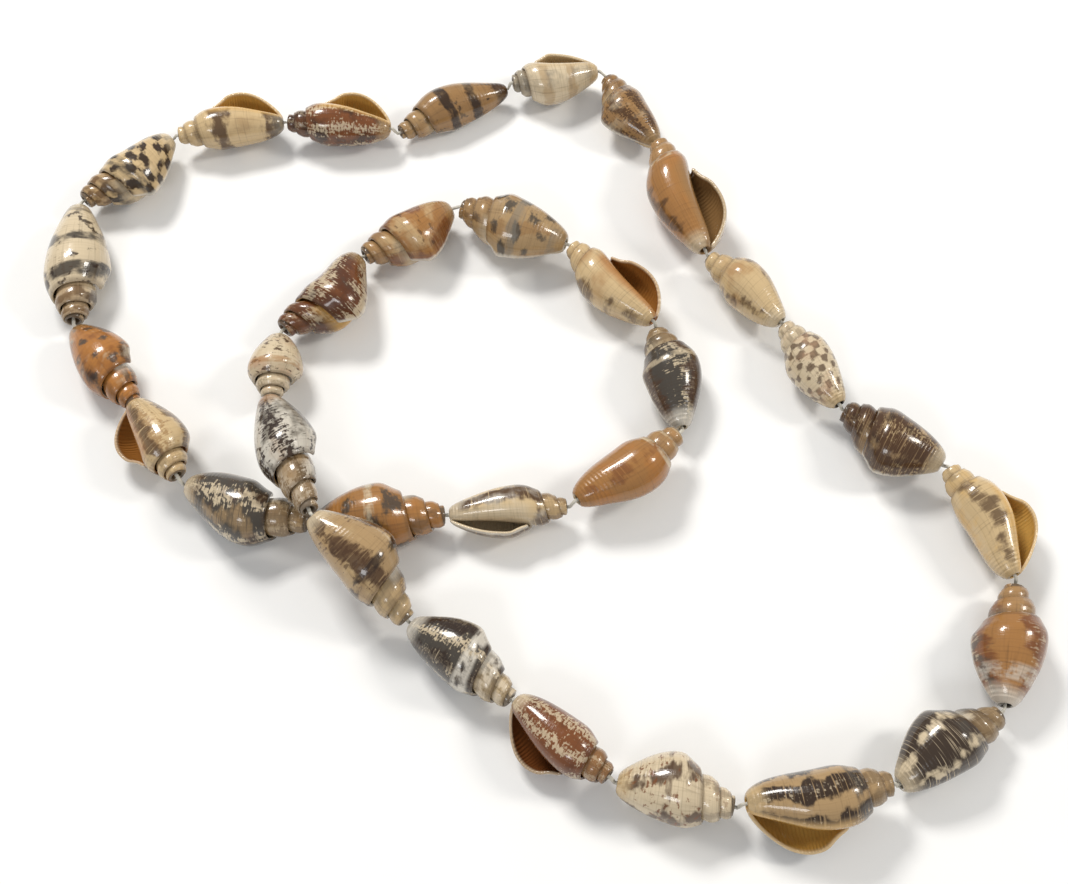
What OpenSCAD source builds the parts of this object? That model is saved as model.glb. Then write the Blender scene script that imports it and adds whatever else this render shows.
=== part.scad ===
// Shell necklace: small polished conch-like shells on one closed thread, lying as it was laid down.

/* [Thread] */
// Diameter of the thread
thread_d = 0.8; // [0.6:0.1:1.0]
// Least clear space between the nose of a shell and the tip before it
end_gap = 0.6; // [0.4:0.1:1.0]

/* [Shells] */
// Thickness of a shell's wall
wall = 1.2; // [0.8:0.1:1.2]
// Diameter of the hole through the nose end
nose_hole_d = 2.0; // [1.6:0.1:2.2]
// Diameter of the hole drilled through the cut spire tip
tip_hole_d = 2.4; // [2.0:0.1:2.8]
// Least wall round the two holes
rim = 0.6; // [0.5:0.1:0.8]
// Turn of the shell that the aperture leaves open, in degrees
aperture_turn = 48; // [36:2:60]
// How far the knobs stand out on a knobbed shoulder, as a share of its radius
knob = 0.12; // [0:0.02:0.16]

/* [Hidden] */
// Corners of a shell's section, and sides of the thread
CORNERS = 12;
THREAD_SIDES = 8;

// Outer stations of a shell, nose to tip: share of the length, share of the half width, and how much
// of that the lip stands out past the other side. The shoulder's foot divides body and spire.
ALONG = 0;
OUT = 1;
LIP = 2;
STATIONS = [
    [0.00, 0.24, 0.00],
    [0.12, 0.38, 0.35],
    [0.27, 0.66, 0.55],
    [0.42, 0.90, 0.50],
    [0.56, 1.00, 0.36],
    [0.66, 0.97, 0.22],
    [0.73, 0.78, 0.06],
    [0.79, 0.73, 0.00],
    [0.85, 0.55, 0.00],
    [0.90, 0.50, 0.00],
    [1.00, 0.32, 0.00],
];
SHOULDER = 5;
SUTURE = 6;
// The hollow keeps the outer stations as far as the shoulder, and then these two
HOLLOW_ROWS = [0, 1, 2, 3, 4, 5, 8, 10];
APERTURE_FOOT = 1;
APERTURE_HEAD = SHOULDER;

// Forms of shell: share of the length that is spire, flare of the lip, and whether it has knobs
SPIRE = 0;
FLARE = 1;
KNOBS = 2;
PLAIN = [0.27, 0.8, 0];
WINGED = [0.25, 1.6, 0];
SLENDER = [0.33, 0.6, 0];
STUBBY = [0.21, 0.8, 0];
KNOBBED = [0.27, 1.0, 1];

// Colours of the shells
CREAM = "wheat";
TAN = "tan";
ORANGE = "peru";
CHESTNUT = "sienna";
GREY = "darkgray";
DARK = "dimgray";

// The string, shell by shell: place of the joint before its nose, lift of that joint where the string
// crosses itself, how far the tip lies under the next nose, turn about the axis (0 is aperture up, 180
// is aperture down), how far the body bows out to the right of the thread, widest part, form, colour
X = 0;
Y = 1;
LIFT = 2;
DROP = 3;
TURN = 4;
BOW = 5;
WIDE = 6;
FORM = 7;
COLOUR = 8;
STRING = [
    [-53, -1, 6, 0, 185, 0.5, 12.5, SLENDER, GREY],
    [-41, -31, 10, 0, 190, -1.5, 13.0, PLAIN, TAN],
    [-21, -51, 1, 0, 215, -1.0, 12.5, PLAIN, DARK],
    [0, -67, 0, 0, 25, 1.0, 12.5, WINGED, CHESTNUT],
    [19, -83, 0, 0, 175, -0.5, 13.5, PLAIN, CREAM],
    [43, -88, 0, 0, 30, 2.0, 14.5, WINGED, TAN],
    [73, -84, 0, 0, 190, -1.0, 13.0, PLAIN, DARK],
    [96, -69, 0, 0, 175, 0.5, 14.0, PLAIN, CHESTNUT],
    [102, -42, 0, 0, -5, 2.5, 13.0, WINGED, CREAM],
    [91, -16, 0, 0, 180, -1.5, 14.0, PLAIN, DARK],
    [70, -2, 0, 0, 75, 0.5, 11.5, PLAIN, CREAM],
    [59, 19, 0, 0, 75, 1.5, 11.5, PLAIN, CREAM],
    [43, 37, 0, 0, -20, -1.0, 14.0, WINGED, ORANGE],
    [33, 69, 0, 0, 185, -1.5, 11.5, PLAIN, TAN],
    [21, 91, 0, 0, -20, -1.0, 12.0, STUBBY, CREAM],
    [-2, 87, 0, 0, 150, 2.0, 10.5, STUBBY, TAN],
    [-29, 73, 0, 0, -15, 1.0, 12.0, WINGED, CHESTNUT],
    [-55, 75, 0, 0, -15, 1.5, 12.0, WINGED, CREAM],
    [-81, 71, 0, 0, 185, -2.5, 13.0, KNOBBED, DARK],
    [-101, 52, 0, 0, 160, 0.5, 14.0, STUBBY, GREY],
    [-98, 19, 0, 0, 195, 0.0, 12.0, PLAIN, ORANGE],
    [-82, -1, 0, 0, 15, -0.5, 13.5, WINGED, CREAM],
    [-70, -20, 0, 0, 175, 2.5, 13.5, PLAIN, DARK],
    [-42, -29, 0, 0, 180, 0.0, 13.5, PLAIN, ORANGE],
    [-14, -27, 0, 0, -15, -0.5, 11.0, PLAIN, CREAM],
    [12, -25, 0, 0, 80, 2.0, 13.0, PLAIN, ORANGE],
    [36, -8, 0, 0, 180, 1.5, 12.5, STUBBY, DARK],
    [31, 19, 0, 0, -20, -1.0, 12.5, WINGED, CREAM],
    [12, 40, 0, 0, 180, -0.5, 14.5, KNOBBED, TAN],
    [-14, 51, 0, 0, 185, -2.0, 13.5, PLAIN, ORANGE],
    [-35, 37, 0, 0, 195, -4.0, 14.0, PLAIN, CHESTNUT],
    [-52, 17, 0, 6, 120, 0.5, 12.0, PLAIN, CREAM],
];
COUNT = len(STRING);

function name_of(i) = str("shell_", i < 9 ? "0" : "", i + 1);

// Line of each shell over the surface, from one joint of the string to the next
function joint(i) = [STRING[i % COUNT][X], STRING[i % COUNT][Y]];
function line_of(i) = joint(i + 1) - joint(i);
function heading(i) = atan2(line_of(i)[1], line_of(i)[0]);
function bend(i) = abs((heading(i) - heading(i + COUNT - 1) + 540) % 360 - 180);

// Half the width without the lip's flare
function half_width(i) = let (s = STRING[i]) s[WIDE] / (2 + 0.1 * s[FORM][FLARE]);

// Place along the shell of a station, moved for the form's height of spire
FOOT = STATIONS[SUTURE][ALONG];
function along(form, row) = let (a = STATIONS[row][ALONG], body = 1 - form[SPIRE])
    a < FOOT ? a / FOOT * body : 1 - (1 - a) / (1 - FOOT) * form[SPIRE];

// Turn of a corner, going back over the shell from the lip's edge to the inner edge of the aperture
function turn_at(corner) = corner * (360 - aperture_turn) / (CORNERS - 1);

// Outer and inner radius at a station and corner
function end_r(row) = (row == 0 ? nose_hole_d : tip_hole_d) / 2 + rim;
function outer_r(i, row, corner) =
    let (
        s = STATIONS[row], form = STRING[i][FORM],
        spiral = 1 + s[LIP] * form[FLARE] * (0.5 - turn_at(corner) / 360),
        knobs = 1 + (row == SHOULDER ? form[KNOBS] * knob * (corner % 2) : 0)
    ) max(half_width(i) * s[OUT] * spiral * knobs, end_r(row));
function inner_r(i, row, corner) =
    row == 0 ? nose_hole_d / 2
    : row == len(STATIONS) - 1 ? tip_hole_d / 2
    : max(outer_r(i, row, corner) - wall, nose_hole_d / 2);

// Height of the axis of a shell that lies level, and the step at a joint from the tip to the nose
function level_height(i) = max([
    for (row = [0 : len(STATIONS) - 1], corner = [0 : CORNERS - 1])
        outer_r(i, row, corner) * sin(turn_at(corner) + STRING[i][TURN])
]);
LEVELS = [for (i = [0 : COUNT - 1]) level_height(i)];
function step_at(i) = let (before = (i + COUNT - 1) % COUNT)
    abs(LEVELS[i] - LEVELS[before] + STRING[before][DROP]);

// Ends stay clear of each other where the string bends or steps up: nose and tip are about this
// wide together, and a step takes this share of its height
ENDS_R = 3.6;
STEP_ROOM = 0.3;
BACK_OFFS = [for (i = [0 : COUNT - 1])
    (end_gap + ENDS_R * tan(bend(i) / 2) + STEP_ROOM * step_at(i)) / 2];
LEVEL_LENGTHS = [for (i = [0 : COUNT - 1])
    norm(line_of(i)) - BACK_OFFS[i] - BACK_OFFS[(i + 1) % COUNT]];
function length_of(i, rise) = LEVEL_LENGTHS[i] / cos(rise);

// Directions of a shell: along its axis to the tip, to the right of that, and up
function axis_of(i, rise) = let (h = heading(i)) [cos(rise) * cos(h), cos(rise) * sin(h), sin(rise)];
function right_of(i) = let (h = heading(i)) [sin(h), -cos(h), 0];
function up_of(i, rise) = cross(right_of(i), axis_of(i, rise));

// Points of a shell from the middle of its nose end: the outside row by row, then the hollow. The
// body bows out of the line of its ends and is back in it where they are drilled.
function bowed(part) = pow(sin(180 * part), 2);
function point_of(i, rise, row, corner, r) =
    let (t = turn_at(corner) + STRING[i][TURN], part = along(STRING[i][FORM], row))
    axis_of(i, rise) * part * length_of(i, rise)
    + (STRING[i][BOW] * bowed(part) + r * cos(t)) * right_of(i) - r * sin(t) * up_of(i, rise);
function shell_points(i, rise) = concat(
    [for (row = [0 : len(STATIONS) - 1], corner = [0 : CORNERS - 1])
        point_of(i, rise, row, corner, outer_r(i, row, corner))],
    [for (row = HOLLOW_ROWS, corner = [0 : CORNERS - 1])
        point_of(i, rise, row, corner, inner_r(i, row, corner))]
);

// A shell lies with its lowest point on the surface, raised at each end by the lift of that joint.
// It never sinks into the surface.
function lowest(points) = min([for (p = points) p[2]]);
function rest_height(i, rise) = -lowest(shell_points(i, rise));
function lift_at(i) = STRING[i % COUNT][LIFT];
function climb(i) = lift_at(i + 1) - STRING[i][DROP] - lift_at(i);
RISES = [for (i = [0 : COUNT - 1]) atan2(climb(i), norm(line_of(i)))];
NOSES = [for (i = [0 : COUNT - 1])
    let (at = joint(i) + BACK_OFFS[i] * line_of(i) / norm(line_of(i)))
    [at[0], at[1], max(rest_height(i, 0) + lift_at(i), rest_height(i, RISES[i]))]];
TIPS = [for (i = [0 : COUNT - 1]) NOSES[i] + axis_of(i, RISES[i]) * length_of(i, RISES[i])];

// Faces of a grid of rows of corners, from one row to another, leaving out the aperture's column
// between the rows where it is open. The outside is turned over, and the wall of the hollow isn't.
function quad(a, b, c, d, over = false) = over ? [[a, c, b], [a, d, c]] : [[a, b, c], [a, c, d]];
function flat(lists) = [for (list = lists) each list];
function is_open(row, corner) =
    corner == CORNERS - 1 && row >= APERTURE_FOOT && row < APERTURE_HEAD;
function grid(first, rows, over) = flat([
    for (row = [0 : rows - 2], corner = [0 : CORNERS - 1])
        let (a = first + row * CORNERS, next = (corner + 1) % CORNERS)
        if (!is_open(row, corner))
            quad(a + corner, a + next, a + next + CORNERS, a + corner + CORNERS, over)
]);
HOLLOW = len(STATIONS) * CORNERS;
function ring(outer_row, inner_row, over) = flat([
    for (corner = [0 : CORNERS - 1])
        let (
            a = outer_row * CORNERS, b = HOLLOW + inner_row * CORNERS,
            next = (corner + 1) % CORNERS
        ) quad(a + corner, a + next, b + next, b + corner, over)
]);
function lip_edge(corner, over) = flat([
    for (row = [APERTURE_FOOT : APERTURE_HEAD - 1])
        let (a = row * CORNERS + corner, b = a + CORNERS)
        quad(a, b, HOLLOW + b, HOLLOW + a, over)
]);
function aperture_end(row, over) =
    let (a = row * CORNERS + CORNERS - 1, b = row * CORNERS)
    quad(a, b, HOLLOW + b, HOLLOW + a, over);
SHELL_FACES = concat(
    grid(0, len(STATIONS), true),
    grid(HOLLOW, len(HOLLOW_ROWS), false),
    ring(0, 0, false),
    ring(len(STATIONS) - 1, len(HOLLOW_ROWS) - 1, true),
    lip_edge(CORNERS - 1, false),
    lip_edge(0, true),
    aperture_end(APERTURE_FOOT, true),
    aperture_end(APERTURE_HEAD, false)
);

// Thread: it leaves each nose and tip straight, and turns this far outside it
STRAIGHT = 0.3;
THREAD_POINTS = flat([for (i = [0 : COUNT - 1]) let (out = STRAIGHT * axis_of(i, RISES[i]))
    [NOSES[i] - out, TIPS[i] + out]]);
RINGS = len(THREAD_POINTS);
function unit(v) = v / norm(v);
function thread_ring(k) = let (
        here = THREAD_POINTS[k],
        before = unit(here - THREAD_POINTS[(k + RINGS - 1) % RINGS]),
        after = unit(THREAD_POINTS[(k + 1) % RINGS] - here),
        way = unit(before + after),
        side = unit(cross(way, [0, 0, 1])),
        top = cross(side, way)
    ) [for (n = [0 : THREAD_SIDES - 1])
        let (a = n * 360 / THREAD_SIDES) here + thread_d / 2 * (cos(a) * side + sin(a) * top)];
THREAD_FACES = flat([
    for (k = [0 : RINGS - 1], n = [0 : THREAD_SIDES - 1])
        let (
            a = k * THREAD_SIDES, b = (k + 1) % RINGS * THREAD_SIDES,
            next = (n + 1) % THREAD_SIDES
        ) quad(a + n, a + next, b + next, b + n)
]);

module shell(i) {
    color(STRING[i][COLOUR])
        translate(NOSES[i]) polyhedron(shell_points(i, RISES[i]), SHELL_FACES, convexity = 6);
}

module thread() {
    color("gainsboro")
        polyhedron(flat([for (k = [0 : RINGS - 1]) thread_ring(k)]), THREAD_FACES, convexity = 10);
}

for (i = [0 : COUNT - 1]) shell(i);
thread();
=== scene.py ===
import math
from collections import namedtuple

import bmesh
import bpy
from mathutils import Euler, Matrix, Vector


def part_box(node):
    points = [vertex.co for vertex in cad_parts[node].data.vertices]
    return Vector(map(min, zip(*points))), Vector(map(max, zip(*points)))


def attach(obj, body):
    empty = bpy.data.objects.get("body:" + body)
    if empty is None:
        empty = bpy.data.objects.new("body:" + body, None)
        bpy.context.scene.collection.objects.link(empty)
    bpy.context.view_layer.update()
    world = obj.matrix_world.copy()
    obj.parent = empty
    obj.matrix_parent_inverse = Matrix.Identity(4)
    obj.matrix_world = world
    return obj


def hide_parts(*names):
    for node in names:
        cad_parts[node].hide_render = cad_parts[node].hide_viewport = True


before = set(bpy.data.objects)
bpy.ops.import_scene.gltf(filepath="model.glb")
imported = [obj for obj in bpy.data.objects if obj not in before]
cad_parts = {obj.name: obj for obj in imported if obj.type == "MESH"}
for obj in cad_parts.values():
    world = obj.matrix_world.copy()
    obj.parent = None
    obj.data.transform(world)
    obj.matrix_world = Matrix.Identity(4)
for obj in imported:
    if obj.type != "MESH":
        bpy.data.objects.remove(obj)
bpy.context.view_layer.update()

MM = 0.001

# Size of a shell of each form as it is modelled, before its copies take their own length and width,
# with the thickness of its wall and the hole of its cut tip
MODEL_LENGTH = 27 * MM
MODEL_HALF_WIDTH = 6.5 * MM
WALL = 0.8 * MM
TIP_HOLE_R = 1.2 * MM

# Rows of the growing edge from the nose to the suture: share of the length, share of the half width,
# share of the coil's shrinking, share of its climb to the apex, and how far the lip flares there
Row = namedtuple("Row", "along out coil climb flare")
ROWS = [
    Row(0.000, 0.20, 0.00, 0.00, 0.05),
    Row(0.030, 0.38, 0.10, 0.00, 0.45),
    Row(0.100, 0.53, 0.40, 0.00, 0.80),
    Row(0.180, 0.67, 0.80, 0.00, 0.76),
    Row(0.260, 0.79, 1.00, 0.04, 0.62),
    Row(0.340, 0.89, 1.00, 0.12, 0.49),
    Row(0.420, 0.96, 1.00, 0.25, 0.37),
    Row(0.490, 1.00, 1.00, 0.45, 0.26),
    Row(0.555, 1.02, 1.00, 0.65, 0.16),
    Row(0.610, 0.99, 1.00, 0.85, 0.08),
    Row(0.650, 0.93, 1.00, 1.00, 0.03),
    Row(0.680, 0.87, 1.00, 1.00, 0.00),
    Row(0.705, 0.82, 1.00, 1.00, 0.00),
    Row(0.728, 0.78, 1.00, 1.00, 0.00),
    Row(0.738, 0.71, 1.00, 1.00, 0.00),
]

# Row on which the knobs stand, rows over which they fade out, and how many stand on a whorl
SHOULDER = 9
KNOB_ROWS = 2
KNOBS_A_TURN = 12

# Share of the length at which the spire starts
FOOT = 0.73

# The coil: its apex as a share of the length, size of a whorl next to the whorl that grew after it,
# and the turn back from the lip, in degrees, at which the body whorl has the sizes of the rows
APEX = 1.17
WHORL = 0.67
MIDDLE_TURN = 156

# Turns back from the lip to which the body whorl is swept, before the upper rows alone go on by the
# same step as the spire
LIP_STEP = 5
STEP = 15
BODY_END = 420
BODY_TURNS = [0, LIP_STEP] + list(range(STEP, BODY_END + 1, STEP))
SPIRE_STEPS = 48
SPIRE_ROWS = 8

# Turn at which the lip's flare has faded out, and the turn from which, over how many degrees and by
# what share the hidden end of the body whorl closes in on the axis
WING_ENDS = 200
DIVE_FROM = 300
DIVE_OVER = 90
DIVE = 0.42

# The cut tip: where the spire is cut, and the turned ring there: its place along the shell, radius as
# a share of the half width, sides, length and narrowing of its cone and of its rounded edge, and the
# turns, row and tint that its finish reads
CUT_AT = 0.985
RING_AT = 0.93
RING_OUT = 0.31
RING_SIDES = 20
CONE_LONG = 0.05
CONE_NARROWS = 0.97
EDGE_LONG = 0.008
EDGE_NARROWS = 0.88
RING_GROWTH = (2, 0.9, 1)

# Forms of shell: share of the length that is spire, flare of the lip, height of the shoulder's knobs,
# and flare of the lip in the solids, from which the width and height of a shell are worked out
Form = namedtuple("Form", "spire flare knobs cad_flare")
FORMS = {
    "plain": Form(0.27, 0.1, 0.03, 0.8),
    "winged": Form(0.25, 0.75, 0.03, 1.6),
    "slender": Form(0.33, 0.0, 0.02, 0.6),
    "stubby": Form(0.21, 0.0, 0.02, 0.8),
    "knobbed": Form(0.27, 0.1, 0.09, 1.0),
}

# The string, shell by shell: place of the joint before its nose, lift of that joint, how far the tip
# lies under the next nose, turn about the axis, bow to the right, widest part, and form, in mm and
# degrees
Bead = namedtuple("Bead", "x y lift drop turn bow wide form")
STRING = [
    Bead(-53, -1, 6, 0, 185, 0.5, 12.5, "slender"),
    Bead(-41, -31, 10, 0, 190, -1.5, 13.0, "plain"),
    Bead(-21, -51, 1, 0, 215, -1.0, 12.5, "plain"),
    Bead(0, -67, 0, 0, 25, 1.0, 12.5, "winged"),
    Bead(19, -83, 0, 0, 175, -0.5, 13.5, "plain"),
    Bead(43, -88, 0, 0, 30, 2.0, 14.5, "winged"),
    Bead(73, -84, 0, 0, 190, -1.0, 13.0, "plain"),
    Bead(96, -69, 0, 0, 175, 0.5, 14.0, "plain"),
    Bead(102, -42, 0, 0, -5, 2.5, 13.0, "winged"),
    Bead(91, -16, 0, 0, 180, -1.5, 14.0, "plain"),
    Bead(70, -2, 0, 0, 75, 0.5, 11.5, "plain"),
    Bead(59, 19, 0, 0, 75, 1.5, 11.5, "plain"),
    Bead(43, 37, 0, 0, -20, -1.0, 14.0, "winged"),
    Bead(33, 69, 0, 0, 185, -1.5, 11.5, "plain"),
    Bead(21, 91, 0, 0, -20, -1.0, 12.0, "stubby"),
    Bead(-2, 87, 0, 0, 150, 2.0, 10.5, "stubby"),
    Bead(-29, 73, 0, 0, -15, 1.0, 12.0, "winged"),
    Bead(-55, 75, 0, 0, -15, 1.5, 12.0, "winged"),
    Bead(-81, 71, 0, 0, 185, -2.5, 13.0, "knobbed"),
    Bead(-101, 52, 0, 0, 160, 0.5, 14.0, "stubby"),
    Bead(-98, 19, 0, 0, 195, 0.0, 12.0, "plain"),
    Bead(-82, -1, 0, 0, 15, -0.5, 13.5, "winged"),
    Bead(-70, -20, 0, 0, 175, 2.5, 13.5, "plain"),
    Bead(-42, -29, 0, 0, 180, 0.0, 13.5, "plain"),
    Bead(-14, -27, 0, 0, -15, -0.5, 11.0, "plain"),
    Bead(12, -25, 0, 0, 80, 2.0, 13.0, "plain"),
    Bead(36, -8, 0, 0, 180, 1.5, 12.5, "stubby"),
    Bead(31, 19, 0, 0, -20, -1.0, 12.5, "winged"),
    Bead(12, 40, 0, 0, 180, -0.5, 14.5, "knobbed"),
    Bead(-14, 51, 0, 0, 185, -2.0, 13.5, "plain"),
    Bead(-35, 37, 0, 0, 195, -4.0, 14.0, "plain"),
    Bead(-52, 17, 0, 6, 120, 0.5, 12.0, "plain"),
]
COUNT = len(STRING)

# Room at a joint, in mm: gap of the ends on a straight run, radius of both ends together, for which
# a bend leaves room, and the share of a step in height that is added
END_GAP = 0.6
ENDS_R = 3.6
STEP_ROOM = 0.3

# How far the thread runs straight on past each end of a shell
STRAIGHT = 0.3 * MM

# How much further than the solids a shell reaches at each end, in mm, as its ends are rounder
CLOSER = 0.22

# Stations of the solids, from which the height of a level shell's axis is worked out: share of the
# half width, and share of the lip's flare. Then the corners of a station, the degrees that the
# aperture leaves open, the height of a knob, and how much a flare adds to the widest part
Station = namedtuple("Station", "out lip")
STATIONS = [Station(0.66, 0.55), Station(0.90, 0.50), Station(1.00, 0.36), Station(0.97, 0.22)]
CORNERS = 12
APERTURE = 48
KNOB = 0.12
FLARE_WIDENS = 0.1

# Colours, as linear red, green and blue
WHITE = (0.66, 0.61, 0.52)
CREAM = (0.56, 0.41, 0.22)
PALE = (0.60, 0.49, 0.33)
YELLOW = (0.62, 0.36, 0.09)
ORANGE = (0.38, 0.155, 0.034)
AMBER = (0.33, 0.155, 0.045)
TAN = (0.29, 0.16, 0.06)
SAND = (0.38, 0.25, 0.12)
RUST = (0.17, 0.055, 0.015)
CHESTNUT = (0.09, 0.027, 0.008)
BROWN = (0.06, 0.025, 0.009)
UMBER = (0.022, 0.010, 0.005)
SLATE = (0.055, 0.046, 0.036)
GREY = (0.19, 0.17, 0.135)
PINK = (0.50, 0.30, 0.18)
DUSK = (0.06, 0.032, 0.015)
RING = (0.09, 0.065, 0.042)
FIBRE_SHADE = (0.42, 0.39, 0.32)
FIBRE = (0.74, 0.71, 0.63)
FLOOR_GRAIN = (0.83, 0.83, 0.82)
FLOOR = (0.86, 0.86, 0.85)


def only(obj):
    """Select this object alone and make it the active one."""
    bpy.ops.object.select_all(action="DESELECT")
    obj.select_set(True)
    bpy.context.view_layer.objects.active = obj


def smooth(value):
    """Go smoothly from 0 to 1 as the value does, and stay there."""
    share = min(max(value, 0), 1)
    return share * share * (3 - 2 * share)


def grown(turn):
    """Size of the coil at a turn back from the lip, next to its size at the middle turn."""
    return WHORL ** ((turn - MIDDLE_TURN) / 360)


def place_along(row, turn):
    """Distance of a row of the growing edge from the nose at a turn."""
    climbed = APEX - (APEX - row.along) * grown(turn)
    return MODEL_LENGTH * (row.along + row.climb * (climbed - row.along))


def place_out(form, number, turn):
    """Distance of a row of the growing edge from the axis at a turn."""
    row = ROWS[number]
    size = 1 + row.coil * (grown(turn) - 1)
    wing = 1 + row.flare * form.flare * (1 - smooth(turn / WING_ENDS))
    dive = 1 - DIVE * (1 - row.climb) * smooth((turn - DIVE_FROM) / DIVE_OVER)
    beat = 0.5 + 0.5 * math.cos(math.radians(turn * KNOBS_A_TURN))
    near = max(0, 1 - abs(number - SHOULDER) / KNOB_ROWS)
    return MODEL_HALF_WIDTH * row.out * size * wing * dive * (1 + form.knobs * near * beat)


def growing_edge(form):
    """Draw the growing edge at the lip, row by row, and return it with the order of its points."""
    places = [Vector((place_along(row, 0), -place_out(form, number, 0), 0))
              for number, row in enumerate(ROWS)]
    bpy.ops.object.select_all(action="DESELECT")
    bpy.ops.mesh.primitive_plane_add(size=MM, location=(0, 0, 0))
    edge = bpy.context.object
    bpy.ops.object.mode_set(mode="EDIT")
    bpy.ops.mesh.select_mode(type="VERT")
    bpy.ops.mesh.select_all(action="SELECT")
    bpy.ops.mesh.merge(type="CENTER")
    bpy.ops.transform.translate(value=places[0])
    for before, after in zip(places, places[1:]):
        bpy.ops.mesh.extrude_vertices_move(TRANSFORM_OT_translate={"value": after - before})
    bpy.ops.object.mode_set(mode="OBJECT")
    order = sorted(range(len(ROWS)), key=lambda index: edge.data.vertices[index].co.x)
    return edge, order


def coil_body(edge, order, form):
    """Sweep the growing edge back round the axis, row by row as wide and as far on as it grew."""
    bpy.ops.object.mode_set(mode="EDIT")
    bpy.ops.mesh.select_all(action="SELECT")
    for before, turn in zip(BODY_TURNS, BODY_TURNS[1:]):
        bpy.ops.mesh.extrude_edges_move()
        bpy.ops.transform.rotate(value=math.radians(before - turn), orient_axis="X",
                                 center_override=(0, 0, 0))
        mesh = bmesh.from_edit_mesh(edge.data)
        mesh.verts.ensure_lookup_table()
        ring = [mesh.verts[index - len(ROWS)] for index in order]
        for number, row in enumerate(ROWS):
            size = place_out(form, number, turn) / place_out(form, number, before)
            bpy.ops.mesh.select_all(action="DESELECT")
            ring[number].select_set(True)
            bpy.ops.transform.resize(value=(1, size, size), center_override=(0, 0, 0))
            slip = place_along(row, turn) - place_along(row, before)
            bpy.ops.transform.translate(value=(slip, 0, 0))
        for corner in ring:
            corner.select_set(True)
        mesh.select_flush_mode()


def coil_spire(edge, order):
    """Wind the upper rows on towards the apex, each step smaller by the same share."""
    mesh = bmesh.from_edit_mesh(edge.data)
    mesh.verts.ensure_lookup_table()
    ring = [mesh.verts[index - len(ROWS)] for index in order]
    bpy.ops.mesh.select_all(action="DESELECT")
    for corner in ring[-SPIRE_ROWS:]:
        corner.select_set(True)
    mesh.select_flush_mode()
    shrink = WHORL ** (STEP / 360)
    apex = (APEX * MODEL_LENGTH, 0, 0)
    for _ in range(SPIRE_STEPS):
        bpy.ops.mesh.extrude_edges_move()
        bpy.ops.transform.rotate(value=-math.radians(STEP), orient_axis="X",
                                 center_override=(0, 0, 0))
        bpy.ops.transform.resize(value=(shrink, shrink, shrink), center_override=apex)
    bpy.ops.object.mode_set(mode="OBJECT")


def note_growth(edge, order):
    """Write each point's turns from the lip and its row to the attribute that the finishes read."""
    growth = edge.data.attributes.new("growth", "FLOAT_VECTOR", "POINT")
    body = len(BODY_TURNS) * len(ROWS)
    row_of = {index: number for number, index in enumerate(order)}
    upper = sorted(order[-SPIRE_ROWS:])
    for index in range(len(edge.data.vertices)):
        if index < body:
            turn, number = BODY_TURNS[index // len(ROWS)], row_of[index % len(ROWS)]
        else:
            step, place = divmod(index - body, SPIRE_ROWS)
            turn, number = BODY_TURNS[-1] + STEP * (step + 1), row_of[upper[place]]
        growth.data[index].vector = (turn / 360, ROWS[number].along / FOOT, 0)


def set_spire(edge, form):
    """Draw the spire out or in to the form's share of the length."""
    bpy.ops.object.mode_set(mode="EDIT")
    mesh = bmesh.from_edit_mesh(edge.data)
    foot = FOOT * MODEL_LENGTH
    body = [corner for corner in mesh.verts if corner.co.x <= foot]
    spire = [corner for corner in mesh.verts if corner.co.x > foot]
    parts = [(body, 0, (1 - form.spire) / FOOT), (spire, MODEL_LENGTH, form.spire / (1 - FOOT))]
    for corners, centre, size in parts:
        bpy.ops.mesh.select_all(action="DESELECT")
        for corner in corners:
            corner.select_set(True)
        mesh.select_flush_mode()
        bpy.ops.transform.resize(value=(size, 1, 1), center_override=(centre, 0, 0))
    bpy.ops.object.mode_set(mode="OBJECT")


def tip_ring(side):
    """Turn the flat ring of the cut tip, with the hole that the thread goes through."""
    wide = RING_OUT * MODEL_HALF_WIDTH
    bore = TIP_HOLE_R / (wide * CONE_NARROWS * EDGE_NARROWS)
    steps = [(CONE_LONG, CONE_NARROWS), (EDGE_LONG, EDGE_NARROWS), (0, bore), (-CONE_LONG, CONE_NARROWS)]
    bpy.ops.object.select_all(action="DESELECT")
    bpy.ops.mesh.primitive_circle_add(vertices=RING_SIDES, radius=wide,
                                      location=(RING_AT * MODEL_LENGTH, 0, 0),
                                      rotation=(0, math.radians(90), 0))
    ring = bpy.context.object
    bpy.ops.object.transform_apply(location=True, rotation=True, scale=True)
    bpy.ops.object.mode_set(mode="EDIT")
    bpy.ops.mesh.select_all(action="SELECT")
    for move, size in steps:
        bpy.ops.mesh.extrude_edges_move(
            TRANSFORM_OT_translate={"value": (move * MODEL_LENGTH, 0, 0)})
        bpy.ops.transform.resize(value=(1, size, size), center_override=(0, 0, 0))
    bpy.ops.object.mode_set(mode="OBJECT")
    point_out(ring)
    ring.data.materials.append(side)
    growth = ring.data.attributes.new("growth", "FLOAT_VECTOR", "POINT")
    for value in growth.data:
        value.vector = RING_GROWTH
    return ring


def point_out(obj):
    """Turn all the faces over where the outermost face looks in at the axis."""
    outer = max(obj.data.polygons, key=lambda face: math.hypot(face.center.y, face.center.z))
    away = Vector((0, outer.center.y, outer.center.z))
    if outer.normal.dot(away) < 0:
        only(obj)
        bpy.ops.object.mode_set(mode="EDIT")
        bpy.ops.mesh.select_all(action="SELECT")
        bpy.ops.mesh.flip_normals()
        bpy.ops.object.mode_set(mode="OBJECT")


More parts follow.
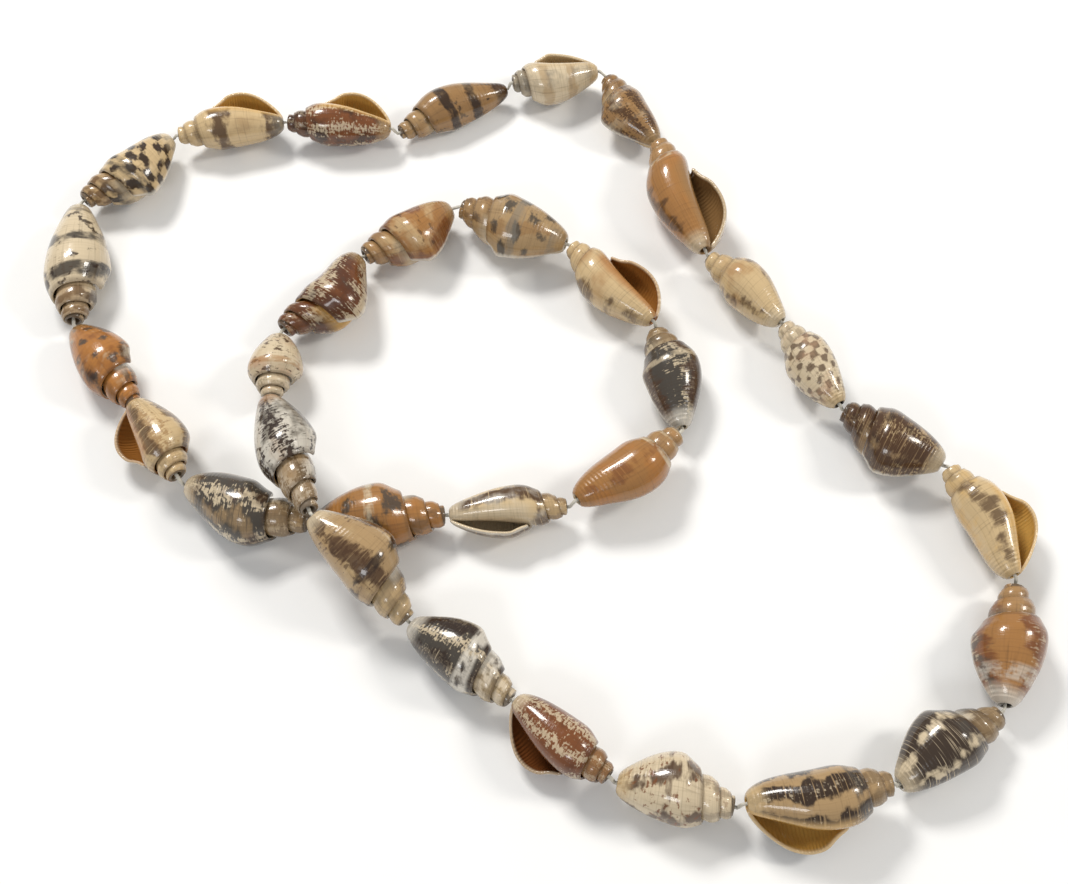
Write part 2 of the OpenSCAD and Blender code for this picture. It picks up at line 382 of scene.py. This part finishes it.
def shell_form(name, form, sides):
    """Model one shell of a form, nose at the origin and tip along X, with its lip to the right."""
    edge, order = growing_edge(form)
    coil_body(edge, order, form)
    coil_spire(edge, order)
    note_growth(edge, order)
    set_spire(edge, form)
    bpy.ops.object.mode_set(mode="EDIT")
    bpy.ops.mesh.select_all(action="SELECT")
    bpy.ops.mesh.bisect(plane_co=(CUT_AT * MODEL_LENGTH, 0, 0), plane_no=(1, 0, 0), clear_outer=True)
    bpy.ops.object.mode_set(mode="OBJECT")
    point_out(edge)
    for side in sides:
        edge.data.materials.append(side)
    only(edge)
    wall = edge.modifiers.new("wall", "SOLIDIFY")
    wall.thickness = WALL
    wall.offset = -1
    wall.material_offset = 1
    wall.material_offset_rim = 1
    bpy.ops.object.modifier_apply(modifier="wall")
    ring = tip_ring(sides[0])
    only(edge)
    ring.select_set(True)
    bpy.ops.object.join()
    rounding = edge.modifiers.new("rounding", "SUBSURF")
    rounding.levels = rounding.render_levels = 1
    bpy.ops.object.modifier_apply(modifier="rounding")
    bpy.ops.object.shade_smooth()
    belly = edge.vertex_groups.new(name="belly")
    for corner in edge.data.vertices:
        part = min(max(corner.co.x / MODEL_LENGTH, 0), 1)
        belly.add([corner.index], math.sin(math.pi * part) ** 2, "REPLACE")
    edge.name = name
    return edge


def joint(number):
    """Place of the joint before a shell's nose, in mm."""
    bead = STRING[number % COUNT]
    return Vector((bead.x, bead.y))


def line_of(number):
    """Line of a shell over the surface, from one joint of the string to the next."""
    return joint(number + 1) - joint(number)


def bend(number):
    """Angle by which the string turns at the joint before a shell."""
    before, after = line_of(number - 1 + COUNT), line_of(number)
    return abs(before.angle_signed(after))


def half_width(bead):
    """Half of a shell's widest part, less what the flare of its lip adds, in mm."""
    return bead.wide / (2 + FLARE_WIDENS * FORMS[bead.form].cad_flare)


def level_height(number):
    """Height of the axis of a shell that lies level, in mm."""
    bead = STRING[number % COUNT]
    form = FORMS[bead.form]
    heights = []
    for row, station in enumerate(STATIONS):
        for corner in range(CORNERS):
            turn = corner * (360 - APERTURE) / (CORNERS - 1)
            spiral = 1 + station.lip * form.cad_flare * (0.5 - turn / 360)
            knobbed = bead.form == "knobbed" and row == len(STATIONS) - 1
            size = spiral * (1 + (KNOB * (corner % 2) if knobbed else 0))
            reach = half_width(bead) * station.out * size
            heights.append(reach * math.sin(math.radians(turn + bead.turn)))
    return max(heights)


def back_off(number):
    """Room that a shell leaves at the joint before it, in mm."""
    before = (number - 1) % COUNT
    step = abs(level_height(number) - level_height(before) + STRING[before].drop)
    return (END_GAP + ENDS_R * math.tan(bend(number) / 2) + STEP_ROOM * step) / 2


def bow_out(shell, reach):
    """Push the middle of a shell out to the right of its axis."""
    bow = shell.modifiers.new("bow", "DISPLACE")
    bow.direction = "Y"
    bow.mid_level = 0
    bow.strength = -reach
    bow.vertex_group = "belly"
    bpy.ops.object.modifier_apply(modifier="bow")


def lay_shell(number, forms):
    """Lay a copy of its form between the joints of a shell, and return it with its ends of thread."""
    bead = STRING[number]
    line = line_of(number)
    climb = STRING[(number + 1) % COUNT].lift - bead.drop - bead.lift
    rise = math.atan2(climb, line.length)
    gaps = back_off(number) + back_off(number + 1) - 2 * CLOSER
    length = (line.length - gaps) / math.cos(rise) * MM
    wide = half_width(bead) * MM / MODEL_HALF_WIDTH
    name = f"shell_{number + 1:02d}"
    shell = forms[bead.form].copy()
    shell.data = shell.data.copy()
    shell.name = name + "_coiled"
    bpy.context.collection.objects.link(shell)
    only(shell)
    shell.scale = (length / MODEL_LENGTH, wide, wide)
    shell.rotation_euler = (math.radians(bead.turn), 0, 0)
    bpy.ops.object.transform_apply(location=True, rotation=True, scale=True)
    if bead.bow:
        bow_out(shell, bead.bow * MM)
    heading = math.atan2(line.y, line.x)
    nose = (joint(number) + line.normalized() * (back_off(number) - CLOSER)) * MM
    laid = Euler((0, -rise, heading)).to_matrix().to_4x4()
    shell.matrix_world = Matrix.Translation((nose.x, nose.y, 0)) @ laid
    bpy.ops.object.transform_apply(location=True, rotation=True, scale=True)
    lowest = min(corner.co.z for corner in shell.data.vertices)
    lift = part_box(name)[0][2] - lowest
    shell.location = (0, 0, lift)
    bpy.ops.object.transform_apply(location=True, rotation=True, scale=True)
    axis = laid @ Vector((1, 0, 0))
    start = Vector((nose.x, nose.y, lift))
    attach(shell, "root")
    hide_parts(name)
    return shell, [start - axis * STRAIGHT, start + axis * (length + STRAIGHT)]


# Sockets of a mix of colours, which share their names with those of the other kinds of mix
MIX_SHARE = 0
MIX_FIRST = 6
MIX_SECOND = 7
MIX_COLOUR = 2

# The polish: roughness of every noise, strength of the bare shine, weight of the clear coat outside and
# inside, its roughness, and depth of the relief outside, inside, on the thread and on the floor
NOISE_ROUGHNESS = 0.55
SHINE = 0.25
COAT_OUTSIDE = 0.6
COAT_INSIDE = 0.5
COAT_ROUGHNESS = 0.06
RELIEF_OUTSIDE = 0.13 * MM
RELIEF_INSIDE = 0.1 * MM
RELIEF_THREAD = 0.05 * MM
RELIEF_FLOOR = 0.02 * MM


class Socket:
    """An output of a shader node, worked with like a number."""

    def __init__(self, paint, link):
        self.paint = paint
        self.link = link

    def math(self, operation, first, second=0.0):
        return self.paint.node("ShaderNodeMath", {"operation": operation}, {0: first, 1: second})

    def __add__(self, other):
        return self.math("ADD", self, other)

    def __radd__(self, other):
        return self.math("ADD", other, self)

    def __sub__(self, other):
        return self.math("SUBTRACT", self, other)

    def __rsub__(self, other):
        return self.math("SUBTRACT", other, self)

    def __mul__(self, other):
        return self.math("MULTIPLY", self, other)

    def waves(self):
        """Swing between -1 and 1, once for each whole number."""
        return self.math("SINE", self * math.tau)

    def ramp(self, low, high):
        """Go smoothly from 0 at low to 1 at high."""
        settings = {"interpolation_type": "SMOOTHSTEP"}
        return self.paint.node("ShaderNodeMapRange", settings, {0: self, 1: low, 2: high})


class Paint:
    """One procedural material, made node by node."""

    def __init__(self, name):
        self.material = bpy.data.materials.new(name)
        self.material.use_nodes = True
        self.tree = self.material.node_tree
        self.shader = self.tree.nodes["Principled BSDF"]

    def node(self, kind, settings, inputs, output=0):
        made = self.tree.nodes.new(kind)
        for key, value in settings.items():
            setattr(made, key, value)
        for key, value in inputs.items():
            self.feed(made.inputs[key], value)
        return Socket(self, made.outputs[output])

    def feed(self, entry, value):
        if isinstance(value, Socket):
            self.tree.links.new(value.link, entry)
        else:
            entry.default_value = value

    def place(self):
        """Place on the object, in metres."""
        return self.node("ShaderNodeTexCoord", {}, {}, output="Object")

    def point(self, x, y, z):
        return self.node("ShaderNodeCombineXYZ", {}, {0: x, 1: y, 2: z})

    def noise(self, vector, scale, detail):
        inputs = {"Vector": vector, "Scale": scale, "Detail": detail, "Roughness": NOISE_ROUGHNESS}
        return self.node("ShaderNodeTexNoise", {}, inputs)

    def mix(self, share, first, second):
        """Go from the first colour to the second as the share goes from 0 to 1."""
        first, second = [tint if isinstance(tint, Socket) else (*tint, 1.0) for tint in (first, second)]
        inputs = {MIX_SHARE: share, MIX_FIRST: first, MIX_SECOND: second}
        return self.node("ShaderNodeMix", {"data_type": "RGBA"}, inputs, output=MIX_COLOUR)

    def finish(self, colour, roughness, height, depth, coat):
        """Feed the shader, set its even values, and return the material."""
        relief = {"Height": height, "Distance": depth, "Strength": 1.0}
        bump = self.node("ShaderNodeBump", {}, relief)
        self.feed(self.shader.inputs["Base Color"], colour)
        self.feed(self.shader.inputs["Roughness"], roughness)
        self.feed(self.shader.inputs["Normal"], bump)
        self.shader.inputs["Specular IOR Level"].default_value = SHINE
        self.shader.inputs["Coat Weight"].default_value = coat
        self.shader.inputs["Coat Roughness"].default_value = COAT_ROUGHNESS
        return self.material


class Growth:
    """A spot on a shell: turns back from the lip, row of the growing edge, ring of the tip, place."""

    def __init__(self, paint, seed):
        growth = paint.node("ShaderNodeAttribute", {"attribute_name": "growth"}, {}, output="Vector")
        split = paint.tree.nodes.new("ShaderNodeSeparateXYZ")
        paint.feed(split.inputs[0], growth)
        self.turn, self.row, self.ring = [Socket(paint, socket) for socket in split.outputs]
        self.place = paint.place()
        self.paint = paint
        self.seed = seed
        broad = self.uneven(around=3.0, across=3.0, detail=2.0, scale=1.4)
        self.ragged = self.uneven(around=16.0, across=14.0, detail=3.0)
        self.wander = broad + self.ragged * 0.45

    def field(self, around, across, detail, scale=1.0):
        """Noise that is stretched as asked round the whorls and across them."""
        spot = self.paint.point(self.turn * around + self.seed, self.row * across, self.seed)
        return self.paint.noise(spot, scale, detail)

    def uneven(self, around, across, detail, scale=1.0):
        """The same noise, as much under nought as over it."""
        return self.field(around, across, detail, scale) - 0.5


def bands(growth, many, width):
    """Stripes that run round the whorls, broken here and there."""
    wave = (growth.row * many + growth.wander * 0.25).waves()
    breaks = growth.uneven(around=8.0, across=9.0, detail=4.0)
    return (wave * 0.5 + breaks * 1.5 + (width - 0.6)).ramp(-0.05, 0.3)


def flames(growth, many, width):
    """Streaks that run from the shoulder to the nose, as the lip once stood."""
    lean = growth.row * 0.14 + growth.wander * 0.12
    wave = ((growth.turn + lean) * many).waves()
    breaks = growth.uneven(around=9.0, across=7.0, detail=4.0)
    return (wave * 0.5 + breaks * 1.7 + (width - 0.6)).ramp(-0.05, 0.3)


def checks(growth, many, width):
    """Dark squares where streaks and stripes cross."""
    across = (growth.row * many + growth.wander * 0.25).waves()
    along = (growth.turn * many * 1.7 + growth.wander * 0.6).waves()
    patches = growth.uneven(around=5.0, across=4.0, detail=3.0)
    frayed = growth.uneven(around=50.0, across=30.0, detail=3.0)
    marks = across * along * 0.6 + patches * 1.9 + frayed * 0.9
    return (marks + (width - 0.5) * 1.4).ramp(-0.1, 0.3)


def net(growth, many, width):
    """Short dashes on fine lines round the whorls, gathered along the old lips."""
    flame = (growth.turn * many * 0.6 + growth.wander * 0.7 + growth.row * 0.3).waves()
    dash = growth.uneven(around=many * 3.2, across=42.0, detail=3.0)
    cross = growth.uneven(around=many * 6.0, across=9.0, detail=3.0)
    return (flame * 0.16 + dash * 1.2 + cross * 0.9 + (width - 0.5)).ramp(0.0, 0.16)


def specks(growth, many, width):
    """Small spots, thicker in some places than in others."""
    spots = growth.field(around=many * 3.4, across=many * 2.2, detail=4.0)
    crowd = growth.uneven(around=3.0, across=3.0, detail=1.0)
    return (spots + crowd * 0.5).ramp(0.68 - width * 0.3, 0.76 - width * 0.3)


def dashes(growth, many, width):
    """Patches of the old lips' streaks, cut by thin clear lines round the whorls."""
    flame = (growth.turn * many + growth.wander * 0.5 + growth.row * 0.2).waves()
    patches = growth.uneven(around=many * 1.4, across=5.0, detail=4.0)
    lines = growth.field(around=3.0, across=60.0, detail=2.0).ramp(0.56, 0.66)
    body = (flame * 0.35 + patches * 1.8 + (width - 0.5) * 1.4).ramp(-0.1, 0.18)
    return body * (1.0 - lines * 0.75)


def clouds(growth, many, width):
    """Large soft patches."""
    patches = growth.field(around=many * 1.6, across=many, detail=4.0)
    return patches.ramp(0.62 - width * 0.25, 0.8 - width * 0.25)


def shoulder(growth, many, width):
    """One stripe round the whorls, where many is its row and width its half width."""
    near = growth.row - many + growth.wander * 0.05
    worn = growth.field(around=12.0, across=10.0, detail=4.0).ramp(0.36, 0.56)
    return (1.0 - (near * near).ramp(width * width * 0.25, width * width)) * worn


# Finish of each shell, in the order of the string: its ground, the layers over it, and the colours of
# its spire, nose and inside. A layer has its pattern, its colour, how many marks go round or across,
# how wide they are, and how strong they are
Layer = namedtuple("Layer", "pattern colour many width strength")
Look = namedtuple("Look", "ground layers spire nose inside")
LOOKS = [
    Look(GREY, [Layer(clouds, WHITE, 4, 0.9, 0.8), Layer(clouds, TAN, 3, 0.5, 0.5),
                Layer(net, UMBER, 7, 0.5, 0.97),
                Layer(specks, UMBER, 6, 0.35, 0.97)], SAND, AMBER, SAND),
    Look(SAND, [Layer(clouds, CREAM, 3, 0.5, 0.7), Layer(dashes, BROWN, 4, 0.40, 0.89),
                Layer(net, BROWN, 6, 0.4, 0.69), Layer(shoulder, UMBER, 0.82, 0.07, 0.89)],
         CREAM, PALE, WHITE),
    Look(SLATE, [Layer(net, PALE, 12, 0.5, 0.8), Layer(dashes, UMBER, 4, 0.5, 0.89),
                 Layer(shoulder, WHITE, 0.86, 0.10, 0.9)], CREAM, WHITE, WHITE),
    Look(RUST, [Layer(clouds, CHESTNUT, 3, 0.6, 0.7), Layer(net, PALE, 9, 0.48, 0.75)],
         TAN, PALE, RUST),
    Look(PALE, [Layer(flames, BROWN, 4, 0.42, 0.89), Layer(specks, RUST, 6, 0.42, 0.89),
                Layer(shoulder, BROWN, 0.6, 0.05, 0.59)], PALE, CREAM, PALE),
    Look(SAND, [Layer(dashes, UMBER, 5, 0.6, 0.97), Layer(net, PALE, 8, 0.3, 0.6),
                Layer(shoulder, SLATE, 0.93, 0.10, 0.79)], SAND, CREAM, YELLOW),
    Look(PALE, [Layer(dashes, UMBER, 5, 0.72, 0.97), Layer(shoulder, SLATE, 0.9, 0.09, 0.69)],
         SAND, PALE, WHITE),
    Look(AMBER, [Layer(dashes, RUST, 3, 0.5, 0.89), Layer(flames, SLATE, 2, 0.25, 0.79),
                 Layer(net, PALE, 5, 0.3, 0.5), Layer(shoulder, WHITE, 0.3, 0.1, 0.5)],
         SAND, WHITE, GREY),
    Look(CREAM, [Layer(clouds, YELLOW, 3, 0.5, 0.6), Layer(dashes, BROWN, 3, 0.36, 0.79)],
         CREAM, CREAM, YELLOW),
    Look(SAND, [Layer(dashes, BROWN, 5, 0.85, 0.97), Layer(net, CREAM, 7, 0.36, 0.6),
                Layer(clouds, UMBER, 4, 0.4, 0.69)], BROWN, PALE, SAND),
    Look(PALE, [Layer(checks, BROWN, 5, 0.46, 0.79), Layer(clouds, PINK, 3, 0.5, 0.5),
                Layer(net, BROWN, 8, 0.3, 0.49)], PALE, CREAM, UMBER),
    Look(CREAM, [Layer(clouds, AMBER, 2, 0.5, 0.6), Layer(flames, BROWN, 3, 0.24, 0.79)],
         CREAM, PALE, PALE),
    Look(AMBER, [Layer(clouds, ORANGE, 3, 0.5, 0.8), Layer(dashes, BROWN, 2, 0.26, 0.79),
                 Layer(shoulder, PALE, 0.97, 0.06, 0.6)],
         SAND, PALE, TAN),
    Look(TAN, [Layer(net, BROWN, 12, 0.58, 0.89), Layer(clouds, PALE, 3, 0.5, 0.4)],
         TAN, SAND, CREAM),
    Look(PALE, [Layer(bands, SAND, 3, 0.5, 0.6), Layer(clouds, GREY, 3, 0.55, 0.7)],
         GREY, CREAM, CREAM),
    Look(TAN, [Layer(bands, UMBER, 3, 0.5, 0.94), Layer(specks, UMBER, 6, 0.3, 0.79),
               Layer(clouds, SAND, 3, 0.5, 0.5)], SAND, BROWN, CREAM),
    Look(RUST, [Layer(clouds, UMBER, 3, 0.6, 0.89), Layer(net, PALE, 8, 0.47, 0.75)],
         BROWN, SAND, YELLOW),
    Look(CREAM, [Layer(bands, BROWN, 1.7, 0.42, 0.89), Layer(clouds, SAND, 3, 0.5, 0.7)],
         CREAM, GREY, YELLOW),
    Look(CREAM, [Layer(checks, UMBER, 4, 0.55, 0.97), Layer(shoulder, SLATE, 0.85, 0.1, 0.69)],
         TAN, PALE, PALE),
    Look(PALE, [Layer(bands, SLATE, 2.5, 0.40, 0.94), Layer(specks, UMBER, 4, 0.38, 0.89),
                Layer(net, BROWN, 5, 0.25, 0.49)], TAN, PALE, PALE),
    Look(ORANGE, [Layer(checks, SLATE, 3, 0.3, 0.9), Layer(clouds, RUST, 4, 0.6, 0.69),
                  Layer(dashes, UMBER, 3, 0.25, 0.79), Layer(clouds, PALE, 5, 0.3, 0.5)],
         ORANGE, TAN, WHITE),
    Look(CREAM, [Layer(net, TAN, 7, 0.52, 0.7), Layer(dashes, BROWN, 4, 0.38, 0.79)],
         CREAM, CREAM, ORANGE),
    Look(SLATE, [Layer(net, PALE, 7, 0.46, 0.85), Layer(clouds, BROWN, 4, 0.5, 0.79),
                 Layer(dashes, SAND, 3, 0.3, 0.6)], SAND, PALE, WHITE),
    Look(AMBER, [Layer(clouds, ORANGE, 3, 0.5, 0.8), Layer(checks, SLATE, 2, 0.38, 0.89),
                 Layer(shoulder, PALE, 0.62, 0.07, 0.7)], AMBER, GREY, PALE),
    Look(CREAM, [Layer(dashes, BROWN, 3, 0.52, 0.94), Layer(clouds, WHITE, 3, 0.5, 0.4)],
         SAND, PALE, PALE),
    Look(AMBER, [Layer(clouds, ORANGE, 3, 0.6, 0.8), Layer(dashes, RUST, 4, 0.3, 0.69),
                 Layer(shoulder, PALE, 0.97, 0.05, 0.8)], SAND, AMBER, PALE),
    Look(SLATE, [Layer(net, PALE, 6, 0.42, 0.8), Layer(dashes, BROWN, 3, 0.5, 0.89),
                 Layer(shoulder, PALE, 0.8, 0.05, 0.6)], SAND, WHITE, PALE),
    Look(CREAM, [Layer(clouds, AMBER, 2, 0.6, 0.6), Layer(dashes, BROWN, 2, 0.34, 0.79)],
         CREAM, CREAM, ORANGE),
    Look(SAND, [Layer(flames, TAN, 5, 0.4, 0.7), Layer(checks, SLATE, 3, 0.36, 0.89),
                Layer(bands, GREY, 2, 0.4, 0.6)], TAN, SAND, PALE),
    Look(AMBER, [Layer(clouds, CREAM, 3, 0.6, 0.7), Layer(dashes, RUST, 3, 0.42, 0.89),
                 Layer(specks, BROWN, 4, 0.25, 0.69)], SAND, SAND, PALE),
    Look(CHESTNUT, [Layer(clouds, RUST, 3, 0.6, 0.89), Layer(net, PALE, 6, 0.5, 0.8),
                    Layer(clouds, SLATE, 4, 0.4, 0.69)], RUST, SAND, YELLOW),
    Look(PALE, [Layer(clouds, PINK, 3, 0.5, 0.7), Layer(specks, BROWN, 6, 0.4, 0.89),
                Layer(shoulder, AMBER, 0.78, 0.08, 0.6)], PALE, PALE, WHITE),
]


# Tints of the outside: the turns back from the lip, or the rows, over which each comes or goes, and
# how strong it is. The glaze lies on the wall beside the aperture
SPIRE_TURNS = (1.0, 1.3)
SPIRE_TINT = 0.55
NOSE_ROWS = (0.05, 0.22)
NOSE_TINT = 0.75
GLAZE_TURNS = (0.78, 0.86)
GLAZE_ENDS = (1.14, 1.2)
GLAZE_ROWS = (0.75, 0.9)
GLAZE_TINT = 0.8
# Painted shade: a dark line in the crease where the whorls meet, over these rows and at this strength
SUTURE_ROWS = (0.955, 0.99)
SUTURE_ENDS = (1.0, 1.012)
SUTURE_SHADE_TINT = 0.35
LIP_TURNS = (0.006, 0.03)
LIP_TINT = 0.75
RING_TINT = 0.8

# Ridges across the nose, and the rows over which they fade out towards the shoulder
RIDGES = 24.0
RIDGE_ROWS = (0.1, 0.6)


def outside_finish(name, look, seed):
    """Polished outside of a shell: its pattern, tints, ridges and growth lines."""
    paint = Paint(name)
    growth = Growth(paint, seed)
    colour = look.ground
    for layer in look.layers:
        mask = layer.pattern(growth, float(layer.many), layer.width) * layer.strength
        colour = paint.mix(mask, colour, layer.colour)
    spire = growth.turn.ramp(*SPIRE_TURNS) * SPIRE_TINT
    colour = paint.mix(spire, colour, look.spire)
    nose = 1.0 - (growth.row + growth.wander * 0.1).ramp(*NOSE_ROWS)
    colour = paint.mix(nose * NOSE_TINT, colour, look.nose)
    glaze = growth.turn.ramp(*GLAZE_TURNS) * (1.0 - growth.turn.ramp(*GLAZE_ENDS))
    colour = paint.mix(glaze * (1.0 - growth.row.ramp(*GLAZE_ROWS)) * GLAZE_TINT, colour, look.inside)
    streaks = growth.field(around=70.0, across=1.6, detail=3.0)
    threads = growth.field(around=2.0, across=60.0, detail=2.0)
    dark = streaks.ramp(0.5, 0.75) * 0.30 + threads.ramp(0.52, 0.72) * 0.22
    colour = paint.mix(dark, colour, DUSK)
    # Painted shade in the crease where the whorls meet
    suture_shade = (1.0 - growth.row.ramp(*SUTURE_ENDS)) * growth.row.ramp(*SUTURE_ROWS)
    colour = paint.mix(suture_shade * SUTURE_SHADE_TINT, colour, DUSK)
    lip = 1.0 - (growth.turn + growth.ragged * 0.03).ramp(*LIP_TURNS)
    colour = paint.mix(lip * LIP_TINT, colour, WHITE)
    colour = paint.mix(growth.ring * RING_TINT, colour, RING)
    fine = paint.noise(growth.place, scale=900.0, detail=3.0)
    ridges = (growth.row * RIDGES).waves() * (1.0 - growth.row.ramp(*RIDGE_ROWS)) * 0.22
    height = ridges + streaks * 0.5 + threads * 0.3 + fine * 0.15
    roughness = 0.14 + fine * 0.12 + growth.ring * 0.25
    return paint.finish(colour, roughness, height, RELIEF_OUTSIDE, COAT_OUTSIDE)


# Tints of the inside, in the same way, the painted shade far into the aperture and how much darker it is
# there, and its folds
DEEP_SHADE_TURNS = (0.3, 0.75)
DEEP_SHADE_TINT = 0.6
DEEP_SHADE = 0.3
RIM_TURNS = (0.0, 0.02)
RIM_TINT = 0.6
STAIN_TINT = 0.6
FOLDS = 22.0


def inside_finish(name, tint):
    """Porcelain inside of a shell and the edge of its lip, with painted shade far into the aperture."""
    paint = Paint(name)
    growth = Growth(paint, 0.0)
    # Painted shade: far into the aperture the inside goes over to a darker copy of its own colour
    deep_shade = growth.turn.ramp(*DEEP_SHADE_TURNS)
    rim = 1.0 - growth.turn.ramp(*RIM_TURNS)
    stain = growth.field(around=5.0, across=4.0, detail=3.0).ramp(0.56, 0.8)
    colour = paint.mix(deep_shade * DEEP_SHADE_TINT, tint, tuple(part * DEEP_SHADE for part in tint))
    colour = paint.mix(stain * STAIN_TINT, colour, BROWN)
    colour = paint.mix(rim * RIM_TINT, colour, PALE)
    folds = (growth.row * FOLDS).waves() * 0.4
    fine = paint.noise(growth.place, scale=700.0, detail=2.0)
    return paint.finish(colour, 0.16 + fine * 0.1, folds + fine * 0.3, RELIEF_INSIDE, COAT_INSIDE)


def thread_finish():
    """Off-white twisted fibre."""
    paint = Paint("twisted_thread")
    fibre = paint.noise(paint.place(), scale=4000.0, detail=3.0)
    colour = paint.mix(fibre, FIBRE_SHADE, FIBRE)
    return paint.finish(colour, 0.7 + fibre * 0.2, fibre, RELIEF_THREAD, coat=0.0)


# The thread, in mm: radius of its outline, share of it between the two plies and share that each ply
# adds, sides of the outline, length of a step of the sweep, and how far each step twists, in radians
THREAD_R = 0.4
PLY_WAIST = 0.72
PLY_BULGE = 0.28
PLY_SIDES = 8
STEP_LONG = 0.45
STEP_TWIST = 0.28


def ply_outline():
    """Draw the outline of two plies side by side."""
    outline = bpy.data.curves.new("ply_outline", "CURVE")
    spline = outline.splines.new("POLY")
    spline.points.add(PLY_SIDES - 1)
    for number, point in enumerate(spline.points):
        angle = math.tau * number / PLY_SIDES
        reach = THREAD_R * MM * (PLY_WAIST + PLY_BULGE * abs(math.cos(angle)))
        point.co = (reach * math.cos(angle), reach * math.sin(angle), 0, 1)
    spline.use_cyclic_u = True
    profile = bpy.data.objects.new("ply_outline", outline)
    bpy.context.collection.objects.link(profile)
    return profile


def twist_thread(route):
    """Sweep the outline of two plies along the route, twisting as it goes."""
    bpy.ops.object.select_all(action="DESELECT")
    profile = ply_outline()
    places = []
    for before, after in zip(route, route[1:] + route[:1]):
        steps = max(2, round((after - before).length / (STEP_LONG * MM)))
        places += [before.lerp(after, step / steps) for step in range(steps)]
    course = bpy.data.curves.new("thread", "CURVE")
    course.dimensions = "3D"
    course.twist_mode = "Z_UP"
    line = course.splines.new("POLY")
    line.points.add(len(places) - 1)
    for number, (point, place) in enumerate(zip(line.points, places)):
        point.co = (*place, 1)
        point.tilt = number * STEP_TWIST
    line.use_cyclic_u = True
    course.bevel_mode = "OBJECT"
    course.bevel_object = profile
    thread = bpy.data.objects.new("thread_twisted", course)
    bpy.context.collection.objects.link(thread)
    only(thread)
    bpy.ops.object.convert(target="MESH")
    bpy.ops.object.shade_smooth()
    bpy.data.objects.remove(profile)
    thread.data.materials.append(thread_finish())
    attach(thread, "root")
    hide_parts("thread")


def string_up():
    """Model the forms, lay every shell with its own finish, and run the thread through."""
    # These two stand in for the finishes of a form, and each shell puts its own in their place
    sides = [bpy.data.materials.new(name) for name in ("outside", "inside")]
    forms = {name: shell_form(name, form, sides) for name, form in FORMS.items()}
    linings = {}
    route = []
    for number, look in enumerate(LOOKS):
        shell, ends = lay_shell(number, forms)
        route += ends
        if look.inside not in linings:
            linings[look.inside] = inside_finish(f"lining_{len(linings) + 1}", look.inside)
        name = f"finish_of_shell_{number + 1:02d}"
        shell.data.materials[0] = outside_finish(name, look, float(number + 1))
        shell.data.materials[1] = linings[look.inside]
    twist_thread(route)
    for form in forms.values():
        bpy.data.objects.remove(form)


# The camera: the spot that it looks at, its angle over the surface, its distance, and its lens
LOOK_AT = Vector((4, -7, 0)) * MM
ELEVATION = math.radians(63)
DISTANCE = 335 * MM
NEAREST = 10 * MM
LENS_MM = 52
SENSOR_MM = 36


def set_camera():
    """Set the camera at the photo's angle to the surface."""
    lens = bpy.data.cameras.new("camera")
    lens.lens = LENS_MM
    lens.sensor_width = SENSOR_MM
    lens.clip_start = NEAREST
    camera = bpy.data.objects.new("camera", lens)
    away = Vector((0, -math.cos(ELEVATION), math.sin(ELEVATION)))
    camera.location = LOOK_AT + away * DISTANCE
    camera.rotation_euler = (-away).to_track_quat("-Z", "Y").to_euler()
    bpy.context.collection.objects.link(camera)
    bpy.context.scene.camera = camera


# The stage: the lights, with place and size in metres and power in watts, the strength of the white
# sky, the side of the floor in metres, and how many grains of it to a metre
Softbox = namedtuple("Softbox", "name place size power tint")
SOFTBOXES = [
    Softbox("window", (-0.35, 0.55, 0.75), (0.3, 0.2), 7.0, (1.0, 0.98, 0.95)),
    Softbox("side", (0.7, 0.1, 0.6), (0.16, 0.2), 3.0, (1.0, 0.96, 0.9)),
    Softbox("front", (-0.3, -0.8, 0.7), (0.35, 0.2), 2.2, (0.97, 0.98, 1.0)),
]
SKY_STRENGTH = 0.45
FLOOR_SIDE = 6
FLOOR_GRAINS = 60.0


def add_softbox(softbox):
    """Hang a soft light that shines on the spot where the camera looks."""
    lamp = bpy.data.lights.new(softbox.name, "AREA")
    lamp.shape = "RECTANGLE"
    lamp.size, lamp.size_y = softbox.size
    lamp.energy = softbox.power
    lamp.color = softbox.tint
    light = bpy.data.objects.new(softbox.name, lamp)
    light.location = softbox.place
    light.rotation_euler = (LOOK_AT - Vector(softbox.place)).to_track_quat("-Z", "Y").to_euler()
    bpy.context.collection.objects.link(light)


def lay_floor():
    """Lay a plain pale floor under the strand."""
    bpy.ops.object.select_all(action="DESELECT")
    bpy.ops.mesh.primitive_plane_add(size=FLOOR_SIDE, location=(0, 0, 0))
    floor = bpy.context.object
    floor.name = "pale_floor"
    paint = Paint("pale_floor")
    grain = paint.noise(paint.place(), scale=FLOOR_GRAINS, detail=2.0)
    colour = paint.mix(grain, FLOOR_GRAIN, FLOOR)
    floor.data.materials.append(
        paint.finish(colour, 0.75 + grain * 0.05, grain, RELIEF_FLOOR, coat=0.0))


def light_stage():
    """Light the strand from a window side and two softboxes, under a white sky."""
    for softbox in SOFTBOXES:
        add_softbox(softbox)
    world = bpy.data.worlds.new("studio")
    world.use_nodes = True
    sky = world.node_tree.nodes["Background"]
    sky.inputs["Color"].default_value = (1.0, 1.0, 1.0, 1.0)
    sky.inputs["Strength"].default_value = SKY_STRENGTH
    bpy.context.scene.world = world
    bpy.context.scene.view_settings.view_transform = "Standard"


set_camera()
string_up()
lay_floor()
light_stage()
